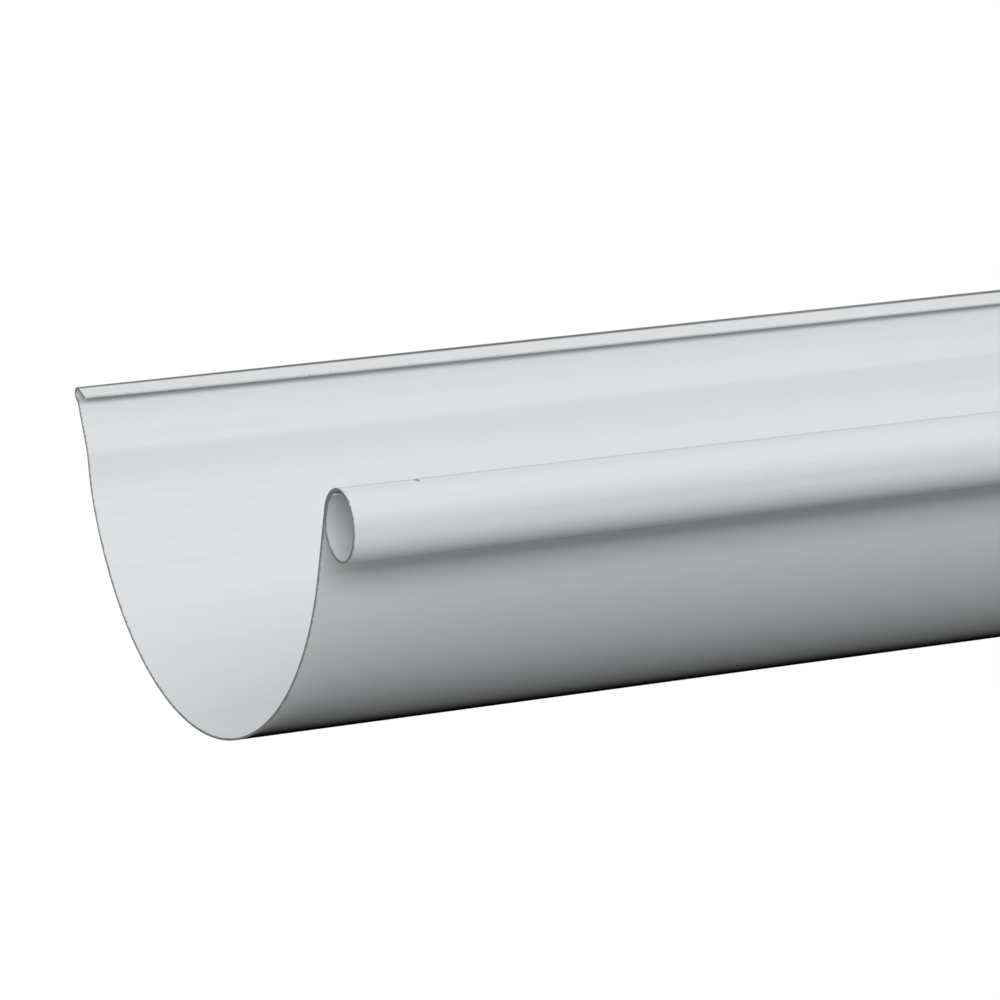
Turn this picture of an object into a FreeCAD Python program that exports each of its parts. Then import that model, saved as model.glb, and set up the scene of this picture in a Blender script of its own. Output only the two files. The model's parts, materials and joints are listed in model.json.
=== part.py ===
import FreeCAD, Part
import math
import os
import Sketcher

# Half-round roof gutter: one length of roll-formed steel strip, open at both ends.
#
# The strip is drawn as its cross-section, hung the way it is on a roof, about the axis of its
# trough. +Y is the wall side (the back), -Y the street side (the front), +Z is up. Two runs of
# flats and bends leave the ends of the round trough:
#   front run: a flat, then the bead, which is rolled over towards the street, down, and back up
#              inside itself until its free edge lies under the bead's own top
#   back run:  a tighter shoulder, an almost upright flat, a flat flared towards the wall, a small
#              step out, and a narrow strip folded back over the opening
# The finished length lies on a level floor the way it comes to rest, with the heavy bead low: it
# is turned about the trough's axis until its centre of mass is right under that axis.

# Alias, number, meaning. Lengths and radii are in mm, angles in degrees. Radii of bends are those
# of the strip's centre line.
SIZES = [
    ("gutter_length", 2000.0, "length of the piece"),
    ("strip_thickness", 0.6, "thickness of the coated strip"),
    ("trough_radius", 75.0, "inside radius of the round trough"),
    ("front_rise", 13.0, "how far below level the round trough ends at the front"),
    ("back_rise", 22.0, "how far below level the round trough ends at the back"),
    ("front_flat", 18.1, "flat between the trough and the bead"),
    ("bead_radius", 8.3, "upper half of the bead"),
    ("bead_flat", 1.6, "flat on the street side of the bead"),
    ("lap_gap", 0.3, "clearance where the bead passes inside itself"),
    ("lap_turn", 44.0, "turn of the bead's free edge under its top"),
    ("shoulder_radius", 30.0, "bend between the trough and the upright flat"),
    ("shoulder_turn", 11.0, "turn of that bend"),
    ("upright_flat", 5.0, "almost upright flat above the shoulder"),
    ("knuckle_radius", 6.0, "bend into the flare"),
    ("knuckle_turn", 14.0, "turn of that bend, towards the wall"),
    ("flare_flat", 12.6, "flared flat of the back wall"),
    ("step_radius", 3.0, "bend below the fold"),
    ("step_turn", 25.0, "turn of that bend, towards the wall"),
    ("step_flat", 1.2, "flat between the step and the fold"),
    ("fold_radius", 1.5, "fold along the back edge"),
    ("fold_turn", 173.0, "turn of the fold, back over the opening"),
    ("fold_flat", 4.2, "flat of the folded strip"),
]

# The sketcher's numbers for the points of a line or an arc, and for the sketch's origin.
START, END, CENTRE = 1, 2, 3
ORIGIN = -1

# The two faces of the strip: whether each is the one inside the trough.
FACES = {"inside": True, "outside": False}


def make_sheet(doc):
    """The driving dimensions, one row each."""
    sheet = doc.addObject("Spreadsheet::Sheet", "Sizes")
    for row, (alias, number, meaning) in enumerate(SIZES, start=1):
        sheet.set(f"A{row}", alias)
        sheet.set(f"B{row}", str(number))
        sheet.set(f"C{row}", meaning)
        sheet.setAlias(f"B{row}", alias)
    doc.recompute()
    return sheet


def flat(name, length, length_cell=None):
    return {"name": name, "length": length, "length_cell": length_cell}


def bend(name, radius, turn, radius_cell, turn_cell):
    """A bend, which turns to the left where turn is positive, in degrees."""
    return {
        "name": name,
        "radius": radius,
        "turn": turn,
        "radius_cell": radius_cell,
        "turn_cell": turn_cell,
    }


def front_run(sizes):
    """From the front end of the trough to the free edge of the bead.

    The foot of the bead is a little tighter than its top, so that the strip comes up inside the
    front flat, with the lap gap between the two, and goes on round the middle of the top.
    """
    lean = math.radians(sizes.front_rise)
    inset = sizes.strip_thickness + sizes.lap_gap
    foot_radius = sizes.bead_radius + (sizes.bead_flat * math.sin(lean) - inset) / (1 + math.cos(lean))
    tighter = sizes.bead_radius - foot_radius
    lap_flat = sizes.bead_flat * math.cos(lean) - tighter * math.sin(lean)
    top_turn = 180 - sizes.front_rise
    foot_turn = 180 + sizes.front_rise
    lap_radius = sizes.bead_radius - inset
    lap_cells = "Sizes.bead_radius - Sizes.strip_thickness - Sizes.lap_gap"
    return [
        flat("front_flat", sizes.front_flat, "Sizes.front_flat"),
        bend("top", sizes.bead_radius, top_turn, "Sizes.bead_radius", "180 - Sizes.front_rise"),
        flat("bead_flat", sizes.bead_flat, "Sizes.bead_flat"),
        bend("foot", foot_radius, foot_turn, None, "180 + Sizes.front_rise"),
        flat("lap_flat", lap_flat),
        bend("lap", lap_radius, sizes.lap_turn, lap_cells, "Sizes.lap_turn"),
    ]


def back_run(sizes):
    """From the back end of the trough to the free edge of the fold."""
    run = []
    for bend_name, left, flat_name in (
        ("shoulder", 1, "upright_flat"),
        ("knuckle", -1, "flare_flat"),
        ("step", -1, "step_flat"),
        ("fold", 1, "fold_flat"),
    ):
        radius = getattr(sizes, f"{bend_name}_radius")
        turn = left * getattr(sizes, f"{bend_name}_turn")
        cells = (f"Sizes.{bend_name}_radius", f"Sizes.{bend_name}_turn")
        run.append(bend(bend_name, radius, turn, *cells))
        run.append(flat(flat_name, getattr(sizes, flat_name), f"Sizes.{flat_name}"))
    return run


def direction(degrees):
    """A vector of length 1 in the section, at an angle from the level."""
    angle = math.radians(degrees)
    return FreeCAD.Vector(math.cos(angle), math.sin(angle), 0)


def bind(sketch, name, expression, *constraint):
    """Add a size to the sketch under a name, with its value taken from the sheet."""
    index = sketch.addConstraint(Sketcher.Constraint(*constraint))
    sketch.renameConstraint(index, name)
    sketch.setExpression(f"Constraints.{name}", expression)


def draw_trough(sketch, sizes, face):
    """One face of the round trough, about the sketch's origin. Returns its geometry number."""
    radius = sizes.trough_radius
    cells = "Sizes.trough_radius"
    if not FACES[face]:
        radius += sizes.strip_thickness
        cells += " + Sizes.strip_thickness"
    first = math.radians(180 + sizes.front_rise)
    last = math.radians(360 - sizes.back_rise)
    circle = Part.Circle(FreeCAD.Vector(), FreeCAD.Vector(0, 0, 1), radius)
    arc = sketch.addGeometry(Part.ArcOfCircle(circle, first, last))
    turn_cells = "(180 - Sizes.front_rise - Sizes.back_rise) * 1 deg"
    sketch.addConstraint(Sketcher.Constraint("Coincident", arc, CENTRE, ORIGIN, START))
    bind(sketch, f"{face}_trough_radius", cells, "Radius", arc, radius)
    bind(sketch, f"{face}_trough_turn", turn_cells, "Angle", arc, last - first)
    return arc


def draw_flat(sketch, face, piece, place, heading):
    """One face of a flat. Returns its geometry number, its two ends and where the run goes on."""
    end = place + direction(heading) * piece["length"]
    line = sketch.addGeometry(Part.LineSegment(place, end))
    if piece["length_cell"]:
        name = f"{face}_{piece['name']}"
        bind(sketch, name, piece["length_cell"], "Distance", line, piece["length"])
    return line, START, END, end, heading


def draw_bend(sketch, face, piece, place, heading, half):
    """One face of a bend, half to the left of the centre line. Returns what draw_flat does."""
    left = 1 if piece["turn"] > 0 else -1
    radius = piece["radius"] - left * half
    centre = place + direction(heading + 90 * left) * radius
    angles = [heading - 90 * left, heading - 90 * left + piece["turn"]]
    first, last = (math.radians(angle) for angle in sorted(angles))
    circle = Part.Circle(centre, FreeCAD.Vector(0, 0, 1), radius)
    arc = sketch.addGeometry(Part.ArcOfCircle(circle, first, last))
    name = f"{face}_{piece['name']}"
    bind(sketch, f"{name}_turn", f"({piece['turn_cell']}) * 1 deg", "Angle", arc, last - first)
    if piece["radius_cell"]:
        sign = "-" if left * half > 0 else "+"
        cells = f"{piece['radius_cell']} {sign} Sizes.strip_thickness / 2"
        bind(sketch, f"{name}_radius", cells, "Radius", arc, radius)
    end = centre + direction(angles[1]) * radius
    enters, leaves = (START, END) if left > 0 else (END, START)
    return arc, enters, leaves, end, heading + piece["turn"]


def draw_run(sketch, sizes, face, run, trough, trough_end, place, heading, half):
    """One face of a run of flats and bends, each tangent to the one before it.

    half is how far the face lies to the left of the centre line: half the thickness, or minus
    that. Returns the geometry numbers by name, and the last one's number and free end.
    """
    drawn = {}
    before, leaving = trough, trough_end
    place = place + direction(heading + 90) * half
    for piece in run:
        if "length" in piece:
            result = draw_flat(sketch, face, piece, place, heading)
        else:
            result = draw_bend(sketch, face, piece, place, heading, half)
        number, enters, leaves, place, heading = result
        sketch.addConstraint(Sketcher.Constraint("Tangent", before, leaving, number, enters))
        drawn[piece["name"]] = number
        before, leaving = number, leaves
    return drawn, before, leaving


def draw_section(sketch, sizes):
    """The closed outline of the strip: both faces, and a square cut at each free edge."""
    centre_line = sizes.trough_radius + sizes.strip_thickness / 2
    front_end = direction(180 + sizes.front_rise) * centre_line
    back_end = direction(-sizes.back_rise) * centre_line
    front_heading = 90 + sizes.front_rise
    back_heading = 90 - sizes.back_rise
    free_ends = {"front": [], "back": []}
    for face, is_inside in FACES.items():
        half = sizes.strip_thickness / 2 * (1 if is_inside else -1)
        trough = draw_trough(sketch, sizes, face)
        front, number, leaves = draw_run(
            sketch, sizes, face, front_run(sizes), trough, START, front_end, front_heading, -half
        )
        free_ends["front"].append((number, leaves))
        upright = math.radians(front_heading)
        lean_cells = "(90 + Sizes.front_rise) * 1 deg"
        bind(sketch, f"{face}_front_lean", lean_cells, "Angle", front["front_flat"], upright)
        same_centre = (front["lap"], CENTRE, front["top"], CENTRE)
        sketch.addConstraint(Sketcher.Constraint("Coincident", *same_centre))
        back, number, leaves = draw_run(
            sketch, sizes, face, back_run(sizes), trough, END, back_end, back_heading, half
        )
        free_ends["back"].append((number, leaves))
    for (inside, inside_end), (outside, outside_end) in free_ends.values():
        corners = (sketch.getPoint(inside, inside_end), sketch.getPoint(outside, outside_end))
        cut = sketch.addGeometry(Part.LineSegment(*corners))
        sketch.addConstraint(Sketcher.Constraint("Coincident", cut, START, inside, inside_end))
        sketch.addConstraint(Sketcher.Constraint("Coincident", cut, END, outside, outside_end))


def make_gutter(doc, sizes):
    """The strip's section, padded both ways along X from the middle of its length."""
    body = doc.addObject("PartDesign::Body", "Gutter")
    body.Label = "gutter_section"
    sketch = body.newObject("Sketcher::SketchObject", "Section")
    across = next(plane for plane in body.Origin.OriginFeatures if plane.Role == "YZ_Plane")
    sketch.AttachmentSupport = [(across, "")]
    sketch.MapMode = "FlatFace"
    doc.recompute()
    draw_section(sketch, sizes)
    pad = body.newObject("PartDesign::Pad", "Length")
    pad.Profile = sketch
    pad.SideType = "Symmetric"
    pad.setExpression("Length", "Sizes.gutter_length")
    doc.recompute()
    return body, sketch


def lay_down(body, sizes):
    """Turn the gutter about the trough's axis until it balances, and set it on the floor.

    The origin ends up under the middle of the piece's length and width, on the floor.
    """
    middle = body.Shape.CenterOfMass
    below = math.degrees(math.atan2(middle.z, middle.y))
    turn = FreeCAD.Rotation(FreeCAD.Vector(1, 0, 0), -90 - below)
    resting = body.Shape.copy()
    resting.Placement = FreeCAD.Placement(FreeCAD.Vector(), turn)
    width = resting.optimalBoundingBox(False)
    half_way = (width.YMin + width.YMax) / 2
    floor = sizes.trough_radius + sizes.strip_thickness
    body.Placement = FreeCAD.Placement(FreeCAD.Vector(0, -half_way, floor), turn)


def check(doc, body, sketch):
    """Stop if any object failed, or if the section isn't closed, fully sized and one solid."""
    for item in doc.Objects:
        if "Invalid" in item.State or "Error" in item.State:
            raise RuntimeError(f"{item.Label} failed: {item.State}")
    if sketch.DoF or sketch.ConflictingConstraints or sketch.RedundantConstraints:
        raise RuntimeError(f"the section is not fully sized: {sketch.DoF} ways to move are left")
    shape = body.Shape
    if shape.isNull() or not shape.isValid() or len(shape.Solids) != 1:
        raise RuntimeError(f"{body.Label} is not one valid solid")


def main():
    doc = FreeCAD.newDocument("gutter")
    sizes = make_sheet(doc)
    body, sketch = make_gutter(doc, sizes)
    lay_down(body, sizes)
    doc.recompute()
    check(doc, body, sketch)
    os.makedirs("parts", exist_ok=True)
    body.Shape.exportStep(os.path.join("parts", f"{body.Label}.step"))
    box = body.Shape.optimalBoundingBox(False)
    print(f"{body.Label}: {body.Shape.Volume:.0f} cubic mm, turned {body.Placement.Rotation.Angle:.4f}")
    print(f"box {box.XLength:.2f} x {box.YLength:.2f} x {box.ZLength:.2f}, floor {box.ZMin:.4f}")


main()
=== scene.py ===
import json
import math

import bmesh
import bpy
import numpy as np
from mathutils import Matrix, Vector


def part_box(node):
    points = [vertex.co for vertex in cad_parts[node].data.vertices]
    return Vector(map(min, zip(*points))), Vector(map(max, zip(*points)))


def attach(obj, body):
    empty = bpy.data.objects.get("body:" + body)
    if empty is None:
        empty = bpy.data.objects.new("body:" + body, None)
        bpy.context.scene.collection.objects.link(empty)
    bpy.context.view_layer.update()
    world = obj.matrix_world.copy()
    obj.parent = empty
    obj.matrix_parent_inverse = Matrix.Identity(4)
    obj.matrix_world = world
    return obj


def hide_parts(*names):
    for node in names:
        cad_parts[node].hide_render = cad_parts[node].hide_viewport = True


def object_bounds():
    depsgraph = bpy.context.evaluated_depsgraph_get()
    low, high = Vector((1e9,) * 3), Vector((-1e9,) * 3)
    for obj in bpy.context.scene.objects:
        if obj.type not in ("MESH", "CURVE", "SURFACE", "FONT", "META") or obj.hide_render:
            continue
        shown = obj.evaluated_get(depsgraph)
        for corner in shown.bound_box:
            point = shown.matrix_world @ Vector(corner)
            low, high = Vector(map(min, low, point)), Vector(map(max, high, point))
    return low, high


# The looks of a half-round gutter section: the rolled strip with its cut edges and its satin coil
# coating, on a pale floor in soft light. Everything is in metres.

MM = 0.001

# The cross-section of the strip as it hangs on a roof, about the axis of the trough. Radii are
# those of the strip's centre line, and a turn to the left is positive.
THICKNESS = 0.6 * MM
TROUGH_RADIUS = 75.0 * MM + THICKNESS / 2
FRONT_RISE = 13.0
BACK_RISE = 22.0
FRONT_FLAT = 18.1 * MM
BEAD_RADIUS = 8.3 * MM
BEAD_FLAT = 1.6 * MM
LAP_GAP = 0.3 * MM
LAP_TURN = 44.0
BACK_RUN = [
    ("bend", 30.0 * MM, 11.0),
    ("flat", 5.0 * MM),
    ("bend", 6.0 * MM, -14.0),
    ("flat", 12.6 * MM),
    ("bend", 3.0 * MM, -25.0),
    ("flat", 1.2 * MM),
    ("bend", 1.5 * MM, 173.0),
    ("flat", 4.2 * MM),
]

# Steps of the mesh: along a bend, and the longest along a flat.
BEND_STEP = math.radians(4)
TROUGH_STEP = math.radians(1)
FLAT_STEP = 1.5 * MM
FLAT_PARTS = 8

# A cut edge is a little rounded by the shears, and its coating is worn just beside it.
EDGE_ROUND = 0.07 * MM
EDGE_WEAR = 0.7 * MM
# The long edges were slit before the coating, so they show only a share of that.
SLIT_WEAR = 0.35

# The fold springs open a little where the piece was cut off, and less and less further in.
SPRING_OPEN = math.radians(12)
SPRING_REACH = 90 * MM

# Painted dark reflection on the outside of a bend: a dark line in the colour where a dark ceiling
# would be reflected. On the fold that is a band along the strip, counted from where its flat
# starts. On the bead it is from and to an angle, in degrees from straight up towards the street,
# and fainter.
FOLD_DARK_REFLECTION = (-3.2 * MM, 0.25 * MM)
FOLD_DARK_REFLECTION_FADE = 0.5 * MM
BEAD_DARK_REFLECTION = (-34.0, 0.0)
BEAD_DARK_REFLECTION_FADE = 6.0
BEAD_DARK_REFLECTION_SHARE = 0.3

# Two small nicks on the bead's top: from the near end, and how deep. They lie across the bead, and
# round it from level towards the wall.
NICKS = [(21.1 * MM, 0.22 * MM), (18.9 * MM, 0.07 * MM)]
NICK_ANGLE = math.radians(84)
NICK_WIDTH = 0.8 * MM
NICK_LENGTH = 2.2 * MM

# Rings of the mesh along the length: how far from each end, how many evenly spaced ones and how far
# from the ends they start, and how many lie across a nick and how far to each side.
END_RINGS = [0, EDGE_ROUND, EDGE_WEAR, 3 * MM, 8 * MM, 16 * MM]
EVEN_RINGS = 60
EVEN_START = 30 * MM
NICK_RINGS = 17
NICK_REACH = 2.4 * MM

# Faces that meet at more than this stay sharp.
SHARP_ANGLE = math.radians(35)

# Tones of the strip, as linear red, green and blue.
COAT_TONES = [(0.705, 0.738, 0.745), (0.722, 0.744, 0.758)]
STREAK_TONE = (0.676, 0.702, 0.712)
GRAIN_TONE = (0.748, 0.770, 0.778)
SCUFF_TONE = (0.60, 0.61, 0.62)
WORN_TONE = (0.20, 0.205, 0.21)
# Painted dark reflection along the fold's crown and the bead's top.
DARK_REFLECTION_TONE = (0.10, 0.102, 0.106)
CHIP_TONE = (0.13, 0.134, 0.14)
# The cut faces are near black: partly bare steel's darker grey, partly painted shade.
CUT_AND_SHADE_TONES = [(0.055, 0.057, 0.06), (0.11, 0.112, 0.116)]
CUT_STAIN = (0.13, 0.12, 0.11)

# The floor's greys for light on its way and for the camera, and how far it reaches.
FLOOR_LIT = [0.46, 0.50]
FLOOR_SEEN = [0.86, 0.88]
FLOOR_HALF = 40.0

# The studio: how strongly the world lights the object, and the lamps, aimed at one point. A lamp is
# its name, place, width, height and watts. The back one stands so low that the back wall keeps it
# off the trough and the bead.
AMBIENT = 0.59
LAMP_TARGET = Vector((-0.5, 0, 0.06))
LAMPS = [
    ("front", Vector((-3.2, -8.0, 1.45)), 9.0, 2.6, 410),
    ("back", Vector((1.6, 7.6, 1.3)), 8.0, 2.0, 260),
]


def arc_points(centre, radius, first, turn, step):
    """Points and left-hand normals of an arc that is entered at an angle and turned through."""
    count = max(2, math.ceil(abs(turn) / step))
    side = 1 if turn > 0 else -1
    out = []
    for i in range(1, count + 1):
        angle = first + turn * i / count
        spoke = (math.cos(angle), math.sin(angle))
        point = (centre[0] + radius * spoke[0], centre[1] + radius * spoke[1])
        out.append((point, (-side * spoke[0], -side * spoke[1])))
    return out


def walk(start, heading, run):
    """The centre line of a run of flats and bends: points with left-hand normals."""
    point = start
    out = []
    for piece in run:
        normal = (-math.sin(heading), math.cos(heading))
        if piece[0] == "flat":
            count = max(FLAT_PARTS, math.ceil(piece[1] / FLAT_STEP))
            for i in range(1, count + 1):
                along = piece[1] * i / count
                place = (point[0] + along * math.cos(heading), point[1] + along * math.sin(heading))
                out.append((place, normal))
        else:
            radius, turn = piece[1], math.radians(piece[2])
            side = 1 if turn > 0 else -1
            centre = (point[0] + side * radius * normal[0], point[1] + side * radius * normal[1])
            first = math.atan2(point[1] - centre[1], point[0] - centre[0])
            out += arc_points(centre, radius, first, turn, BEND_STEP)
            heading += turn
        point = out[-1][0]
    return out


def front_run():
    """From the front end of the trough to the bead's free edge, which ends inside its own top."""
    lean = math.radians(FRONT_RISE)
    inset = THICKNESS + LAP_GAP
    foot_radius = BEAD_RADIUS + (BEAD_FLAT * math.sin(lean) - inset) / (1 + math.cos(lean))
    lap_flat = BEAD_FLAT * math.cos(lean) - (BEAD_RADIUS - foot_radius) * math.sin(lean)
    return [
        ("flat", FRONT_FLAT),
        ("bend", BEAD_RADIUS, 180 - FRONT_RISE),
        ("flat", BEAD_FLAT),
        ("bend", foot_radius, 180 + FRONT_RISE),
        ("flat", lap_flat),
        ("bend", BEAD_RADIUS - inset, LAP_TURN),
    ]


def section():
    """The strip's centre line from the bead's free edge to the fold's: points, normals, place.

    The normals point into the trough. The place is the distance along the strip.
    """
    first, last = math.radians(180 + FRONT_RISE), math.radians(360 - BACK_RISE)
    rim = (TROUGH_RADIUS * math.cos(first), TROUGH_RADIUS * math.sin(first))
    front = walk(rim, math.radians(90 + FRONT_RISE), front_run())
    front = [(p, (-n[0], -n[1])) for p, n in reversed(front)]
    edge = (-math.cos(first), -math.sin(first))
    trough = [(rim, edge)] + arc_points((0, 0), TROUGH_RADIUS, first, last - first, TROUGH_STEP)
    back = walk(trough[-1][0], math.radians(90 - BACK_RISE), BACK_RUN)
    path = front + trough + back
    points = np.array([p for p, _ in path])
    normals = np.array([n for _, n in path])
    place = np.concatenate([[0], np.cumsum(np.linalg.norm(np.diff(points, axis=0), axis=1))])
    return points, normals, place


def bead_centre():
    """Centre of the bead's upper half, in the hanging section."""
    first = math.radians(180 + FRONT_RISE)
    heading = math.radians(90 + FRONT_RISE)
    out = (TROUGH_RADIUS * math.cos(first), TROUGH_RADIUS * math.sin(first))
    out = (out[0] + FRONT_FLAT * math.cos(heading), out[1] + FRONT_FLAT * math.sin(heading))
    return Vector((0, out[0] - BEAD_RADIUS * math.sin(heading), out[1] + BEAD_RADIUS * math.cos(heading)))


def stations(low, high):
    """Places along the length where the mesh has a ring, closer together at the ends and the nicks."""
    rings = {round(low + d, 6) for d in END_RINGS} | {round(high - d, 6) for d in END_RINGS}
    rings |= {round(x, 6) for x in np.linspace(low + EVEN_START, high - EVEN_START, EVEN_RINGS)}
    across = np.linspace(-NICK_REACH, NICK_REACH, NICK_RINGS)
    for nick, _ in NICKS:
        rings |= {round(low + nick + d, 6) for d in across}
    return sorted(rings)


def dark_reflection_amount(at, span, fade):
    """How much of the painted dark reflection there is at a place: 1 within the span, 0 outside."""
    inside = min(at - span[0], span[1] - at)
    return min(1.0, max(0.0, 0.5 + inside / fade))


def street_angle(normal):
    """Where a face points in the section, in degrees from straight up towards the street."""
    return math.degrees(math.atan2(-normal[0], normal[1]))


def dents(from_end, round_bead):
    """How deep the nicks are at a place on the bead, and how much of a nick it is, up to 1."""
    depth = share = 0.0
    for nick, deepest in NICKS:
        reach = math.hypot((from_end - nick) / NICK_WIDTH, round_bead / NICK_LENGTH)
        dent = math.exp(-(reach**2))
        depth += deepest * dent
        share = max(share, dent * deepest / NICKS[0][1])
    return depth, share


def spring_open(points, normals, place, amount):
    """The section with its fold opened by an angle, about the centre of the fold."""
    radius, turn, flat = BACK_RUN[-2][1], math.radians(BACK_RUN[-2][2]), BACK_RUN[-1][1]
    start = place[-1] - flat - radius * turn
    first = int(np.searchsorted(place, start - 0.01 * MM))
    centre = points[first] + normals[first] * radius
    points, normals = points.copy(), normals.copy()
    for i in range(first, len(points)):
        angle = -amount * min(1.0, (place[i] - start) / (radius * turn))
        spin = np.array([[math.cos(angle), -math.sin(angle)], [math.sin(angle), math.cos(angle)]])
        points[i] = centre + spin @ (points[i] - centre)
        normals[i] = spin @ normals[i]
    return points, normals


def make_strip(name, low, high, hang):
    """The formed strip as one closed mesh, with its worn places and painted dark reflection lines as point
    attributes.
    """
    straight = section()
    place = straight[2]
    count = len(place)
    half = THICKNESS / 2
    width = place[-1]
    bead = bead_centre()
    bead_reach = BEAD_RADIUS + BEAD_FLAT + THICKNESS
    fold_flat = width - BACK_RUN[-1][1]

    bm = bmesh.new()
    worn = bm.verts.layers.float.new("worn")
    dark_reflection = bm.verts.layers.float.new("dark_reflection")
    nicked = bm.verts.layers.float.new("nicked")
    loops = []
    for x in stations(low, high):
        from_end = min(x - low, high - x)
        round_end = max(0.0, EDGE_ROUND - from_end)
        end_wear = max(0.0, 1 - from_end / EDGE_WEAR)
        points, normals = spring_open(*straight, SPRING_OPEN * math.exp(-from_end / SPRING_REACH))
        loop = []
        for side in (-1, 1):
            order = range(count) if side < 0 else range(count - 1, -1, -1)
            for i in order:
                at = points[i] + normals[i] * side * (half - round_end)
                y, z = at
                dy, dz = y - bead.y, z - bead.z
                on_bead = side > 0 and BEAD_RADIUS < math.hypot(dy, dz) < bead_reach
                depth, share = 0.0, 0.0
                if on_bead:
                    round_bead = (math.atan2(dz, dy) - NICK_ANGLE) * BEAD_RADIUS
                    depth, share = dents(x - low, round_bead)
                y, z = at - normals[i] * depth
                vert = bm.verts.new(hang @ Vector((x, y, z)))
                vert[nicked] = share
                from_side = min(place[i], width - place[i])
                vert[worn] = max(end_wear, SLIT_WEAR * (1 - from_side / EDGE_WEAR), 0.0)
                # The painted dark reflection: fainter on the bead's top, a band along the fold's crown.
                if on_bead:
                    vert[dark_reflection] = BEAD_DARK_REFLECTION_SHARE * dark_reflection_amount(street_angle(normals[i]), BEAD_DARK_REFLECTION, BEAD_DARK_REFLECTION_FADE)
                elif side < 0:
                    vert[dark_reflection] = dark_reflection_amount(place[i] - fold_flat, FOLD_DARK_REFLECTION, FOLD_DARK_REFLECTION_FADE)
                loop.append(vert)
        loops.append(loop)
    size = 2 * count
    for a, b in zip(loops, loops[1:]):
        for i in range(size):
            j = (i + 1) % size
            bm.faces.new((a[i], a[j], b[j], b[i]))
    for loop, near in ((loops[0], True), (loops[-1], False)):
        for i in range(count - 1):
            quad = (loop[i], loop[size - 1 - i], loop[size - 2 - i], loop[i + 1])
            face = bm.faces.new(quad if near else quad[::-1])
            face.material_index = 1
    bmesh.ops.recalc_face_normals(bm, faces=bm.faces)
    mesh = bpy.data.meshes.new(name)
    bm.to_mesh(mesh)
    bm.free()
    for face in mesh.polygons:
        face.use_smooth = True
    mesh.set_sharp_from_angle(angle=SHARP_ANGLE)
    strip = bpy.data.objects.new(name, mesh)
    bpy.context.scene.collection.objects.link(strip)
    return strip


class Nodes:
    """A material's node tree, with short ways to add to it."""

    def __init__(self, name):
        self.material = bpy.data.materials.new(name)
        self.material.use_nodes = True
        self.tree = self.material.node_tree
        self.tree.nodes.clear()

    def add(self, kind, **inputs):
        node = self.tree.nodes.new(kind)
        for key, value in inputs.items():
            self.feed(node.inputs[key.replace("_", " ")], value)
        return node

    def feed(self, socket, value):
        if isinstance(value, bpy.types.NodeSocket):
            self.tree.links.new(value, socket)
        else:
            socket.default_value = value

    def math(self, operation, *values):
        node = self.tree.nodes.new("ShaderNodeMath")
        node.operation = operation
        for socket, value in zip(node.inputs, values):
            self.feed(socket, value)
        return node.outputs[0]

    def noise(self, stretch, scale, detail=3.0, roughness=0.55):
        """Noise in the object's own metres, stretched along its length. About 0.5 in the middle."""
        place = self.add("ShaderNodeTexCoord").outputs["Object"]
        mapping = self.add("ShaderNodeMapping", Vector=place, Scale=(1 / stretch, 1, 1))
        node = self.add(
            "ShaderNodeTexNoise",
            Vector=mapping.outputs["Vector"],
            Scale=scale,
            Detail=detail,
            Roughness=roughness,
        )
        return node.outputs["Fac"]

    def attribute(self, name):
        node = self.tree.nodes.new("ShaderNodeAttribute")
        node.attribute_name = name
        return node.outputs["Fac"]

    def ramp(self, value, low, high, out_low=0.0, out_high=1.0):
        node = self.tree.nodes.new("ShaderNodeMapRange")
        node.interpolation_type = "SMOOTHSTEP"
        keys = ("Value", "From Min", "From Max", "To Min", "To Max")
        for key, number in zip(keys, (value, low, high, out_low, out_high)):
            self.feed(node.inputs[key], number)
        return node.outputs["Result"]

    def mix(self, amount, first, second):
        node = self.tree.nodes.new("ShaderNodeMix")
        node.data_type = "RGBA"
        self.feed(node.inputs["Factor"], amount)
        self.feed(node.inputs["A"], first)
        self.feed(node.inputs["B"], second)
        return node.outputs["Result"]

    def finish(self, shader):
        output = self.tree.nodes.new("ShaderNodeOutputMaterial")
        self.tree.links.new(shader, output.inputs["Surface"])
        return self.material


def paint(tone):
    """A tone as an opaque colour. A single number is a grey."""
    return (*tone, 1.0) if isinstance(tone, tuple) else (tone, tone, tone, 1.0)


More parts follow.
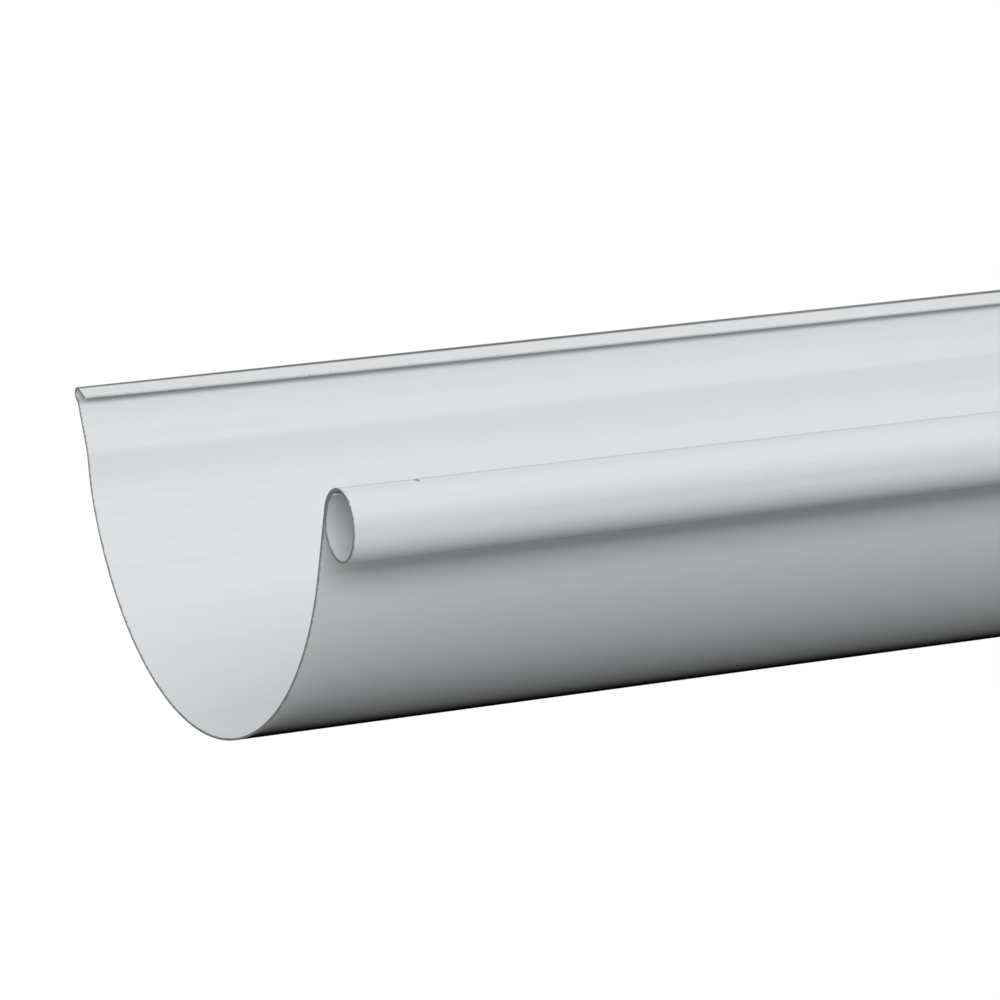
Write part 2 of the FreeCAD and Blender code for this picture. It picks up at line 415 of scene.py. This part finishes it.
def coated_steel():
    """Satin silver-grey coil coating on rolled steel."""
    n = Nodes("coated_steel")
    cloud = n.noise(stretch=4.0, scale=9.0, detail=4.0)
    streak = n.noise(stretch=60.0, scale=420.0, detail=4.0)
    fine_line = n.noise(stretch=150.0, scale=1500.0, detail=2.0)
    grain = n.noise(stretch=1.0, scale=1300.0, detail=3.0, roughness=0.6)

    tone = n.mix(n.ramp(cloud, 0.3, 0.7), paint(COAT_TONES[0]), paint(COAT_TONES[1]))
    tone = n.mix(n.math("MULTIPLY", n.ramp(streak, 0.42, 0.75), 0.6), tone, paint(STREAK_TONE))
    tone = n.mix(n.math("MULTIPLY", n.ramp(grain, 0.35, 0.65), 0.4), tone, paint(GRAIN_TONE))
    scuff = n.math("MULTIPLY", n.ramp(fine_line, 0.66, 0.74), n.ramp(cloud, 0.5, 0.62))
    tone = n.mix(n.math("MULTIPLY", scuff, 0.35), tone, paint(SCUFF_TONE))

    ragged = n.math("ADD", n.attribute("worn"), n.math("MULTIPLY", n.math("SUBTRACT", grain, 0.5), 1.6))
    bare = n.ramp(ragged, 0.50, 0.75)
    tone = n.mix(n.math("MULTIPLY", bare, 0.8), tone, paint(WORN_TONE))

    # Painted dark reflection along the fold's crown and the bead's top, broken up in patches.
    patchy = n.ramp(n.noise(stretch=30.0, scale=90.0), 0.2, 0.6, 0.75, 1.0)
    tone = n.mix(n.math("MULTIPLY", n.attribute("dark_reflection"), patchy), tone, paint(DARK_REFLECTION_TONE))

    chipped = n.math("ADD", n.attribute("nicked"), n.math("MULTIPLY", n.math("SUBTRACT", grain, 0.5), 0.7))
    tone = n.mix(n.math("MULTIPLY", n.ramp(chipped, 0.3, 0.6), 0.85), tone, paint(CHIP_TONE))

    rough = n.math("ADD", n.ramp(streak, 0.3, 0.7, 0.36, 0.44), n.ramp(grain, 0.3, 0.7, -0.03, 0.03))
    rough = n.math("ADD", rough, n.math("MULTIPLY", bare, 0.08))
    height = n.math("ADD", n.math("MULTIPLY", grain, 0.6), n.math("MULTIPLY", streak, 1.0))
    bump = n.add("ShaderNodeBump", Strength=0.12, Distance=0.00006, Height=height)
    shader = n.add(
        "ShaderNodeBsdfPrincipled",
        Base_Color=tone,
        Roughness=rough,
        Metallic=0.0,
        Normal=bump.outputs["Normal"],
    )
    return n.finish(shader.outputs["BSDF"])


def shaded_cut_steel():
    """The bare core of the strip where it was sheared, its dark grey partly the steel's own and partly
    painted shade.
    """
    n = Nodes("shaded_cut_steel")
    grain = n.noise(stretch=1.0, scale=2600.0)
    patch = n.noise(stretch=1.0, scale=240.0)
    tone = n.mix(n.ramp(grain, 0.3, 0.7), paint(CUT_AND_SHADE_TONES[0]), paint(CUT_AND_SHADE_TONES[1]))
    tone = n.mix(n.math("MULTIPLY", n.ramp(patch, 0.5, 0.7), 0.4), tone, paint(CUT_STAIN))
    bump = n.add("ShaderNodeBump", Strength=0.3, Distance=0.00008, Height=grain)
    shader = n.add(
        "ShaderNodeBsdfPrincipled",
        Base_Color=tone,
        Roughness=n.ramp(patch, 0.3, 0.7, 0.42, 0.58),
        Metallic=0.3,
        Normal=bump.outputs["Normal"],
    )
    return n.finish(shader.outputs["BSDF"])


def seen(n):
    """1 for what the camera sees, straight or in a reflection, and 0 for light on its way."""
    path = n.tree.nodes.new("ShaderNodeLightPath")
    rays = n.math("MAXIMUM", path.outputs["Is Camera Ray"], path.outputs["Is Glossy Ray"])
    return n.math("MAXIMUM", rays, path.outputs["Is Transmission Ray"])


def floor_paint():
    """Pale matt floor that takes the shadow. From below it isn't there for the camera."""
    n = Nodes("floor_paint")
    dust = n.noise(stretch=1.0, scale=6.0, detail=4.0)
    dark = n.mix(dust, paint(FLOOR_LIT[0]), paint(FLOOR_LIT[1]))
    pale = n.mix(dust, paint(FLOOR_SEEN[0]), paint(FLOOR_SEEN[1]))
    matt = n.add("ShaderNodeBsdfDiffuse", Color=n.mix(seen(n), dark, pale))
    clear = n.add("ShaderNodeBsdfTransparent")
    path = n.tree.nodes.new("ShaderNodeLightPath")
    geometry = n.tree.nodes.new("ShaderNodeNewGeometry")
    below = n.math("MULTIPLY", path.outputs["Is Camera Ray"], geometry.outputs["Backfacing"])
    both = n.tree.nodes.new("ShaderNodeMixShader")
    n.feed(both.inputs[0], below)
    n.feed(both.inputs[1], matt.outputs[0])
    n.feed(both.inputs[2], clear.outputs[0])
    return n.finish(both.outputs[0])


def make_floor(level, middle, half):
    bm = bmesh.new()
    for a, b in ((-1, -1), (1, -1), (1, 1), (-1, 1)):
        bm.verts.new((middle.x + a * half, middle.y + b * half, level))
    bm.faces.new(bm.verts)
    mesh = bpy.data.meshes.new("floor")
    bm.to_mesh(mesh)
    bm.free()
    floor = bpy.data.objects.new("floor", mesh)
    floor.data.materials.append(floor_paint())
    bpy.context.scene.collection.objects.link(floor)
    return floor


def aim(item, place, target):
    item.location = place
    item.rotation_euler = (target - place).to_track_quat("-Z", "Y").to_euler()


def soft_box(name, place, target, width, height, power):
    light = bpy.data.lights.new(name, "AREA")
    light.shape = "RECTANGLE"
    light.size, light.size_y = width, height
    light.energy = power
    item = bpy.data.objects.new(name, light)
    aim(item, place, target)
    bpy.context.scene.collection.objects.link(item)


def make_world(ambient):
    world = bpy.data.worlds.new("studio")
    world.use_nodes = True
    tree = world.node_tree
    tree.nodes.clear()
    path = tree.nodes.new("ShaderNodeLightPath")
    rays = path.outputs["Is Camera Ray"]
    for other in ("Is Glossy Ray", "Is Transmission Ray"):
        either = tree.nodes.new("ShaderNodeMath")
        either.operation = "MAXIMUM"
        tree.links.new(rays, either.inputs[0])
        tree.links.new(path.outputs[other], either.inputs[1])
        rays = either.outputs[0]
    strength = tree.nodes.new("ShaderNodeMapRange")
    tree.links.new(rays, strength.inputs["Value"])
    strength.inputs["To Min"].default_value = ambient
    strength.inputs["To Max"].default_value = 1.0
    background = tree.nodes.new("ShaderNodeBackground")
    background.inputs["Color"].default_value = paint(1)
    tree.links.new(strength.outputs["Result"], background.inputs["Strength"])
    output = tree.nodes.new("ShaderNodeOutputWorld")
    tree.links.new(background.outputs[0], output.inputs["Surface"])
    bpy.context.scene.world = world


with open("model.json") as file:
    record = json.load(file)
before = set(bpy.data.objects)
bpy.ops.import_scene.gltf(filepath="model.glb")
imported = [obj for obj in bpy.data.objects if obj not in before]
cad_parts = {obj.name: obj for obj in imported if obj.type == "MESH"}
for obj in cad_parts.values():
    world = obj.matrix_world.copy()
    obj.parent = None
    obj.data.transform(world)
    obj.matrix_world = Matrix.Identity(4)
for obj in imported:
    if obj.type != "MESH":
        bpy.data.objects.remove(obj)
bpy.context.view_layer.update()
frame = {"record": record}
low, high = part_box("gutter_section")
mounts = {m["name"]: Vector(m["pos_m"]) for m in frame["record"]["mounts"]}

# From the hanging section to the way the gutter lies: turned about the trough's axis.
axis = mounts["trough_outside"]
lying = mounts["bead"] - axis
hanging = bead_centre()
turn = math.atan2(lying.z, lying.y) - math.atan2(hanging.z, hanging.y)
hang = Matrix.Translation((0, axis.y, axis.z)) @ Matrix.Rotation(turn, 4, "X")

strip = make_strip("gutter_strip", low.x, high.x, hang)
strip.data.materials.append(coated_steel())
strip.data.materials.append(shaded_cut_steel())
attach(strip, "root")
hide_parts("gutter_section")

floor = make_floor(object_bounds()[0].z, (low + high) / 2, FLOOR_HALF)

# The camera stands where it would to look down on the gutter as it hangs: so much to the side of
# square on, so high, and so far from the near end of the bead.
SIDEWAYS = math.radians(26.605)
DOWN = math.radians(13.681)
FOCAL_LENGTH = 214.72
SENSOR = 36.0
DISTANCE = 1449.1 * MM
AIM_RIGHT = 39.2 * MM
AIM_UP = 5.61 * MM

bead_end = bead_centre() + Vector((low.x, 0, 0))
ahead = Vector((math.sin(SIDEWAYS) * math.cos(DOWN), math.cos(SIDEWAYS) * math.cos(DOWN), -math.sin(DOWN)))
right = Vector((math.cos(SIDEWAYS), -math.sin(SIDEWAYS), 0))
up = right.cross(ahead)
eye = bead_end - ahead * DISTANCE + right * AIM_RIGHT + up * AIM_UP
pose = Matrix((right, up, -ahead)).transposed().to_4x4()
camera_data = bpy.data.cameras.new("camera")
camera_data.lens = FOCAL_LENGTH
camera_data.sensor_width = SENSOR
camera_data.clip_start, camera_data.clip_end = 0.05, 200.0
camera = bpy.data.objects.new("camera", camera_data)
camera.matrix_world = hang @ Matrix.Translation(eye) @ pose
bpy.context.scene.collection.objects.link(camera)
bpy.context.scene.camera = camera

make_world(AMBIENT)
for name, place, width, height, power in LAMPS:
    soft_box(name, place, LAMP_TARGET, width, height, power)

bpy.context.scene.view_settings.view_transform = "Standard"
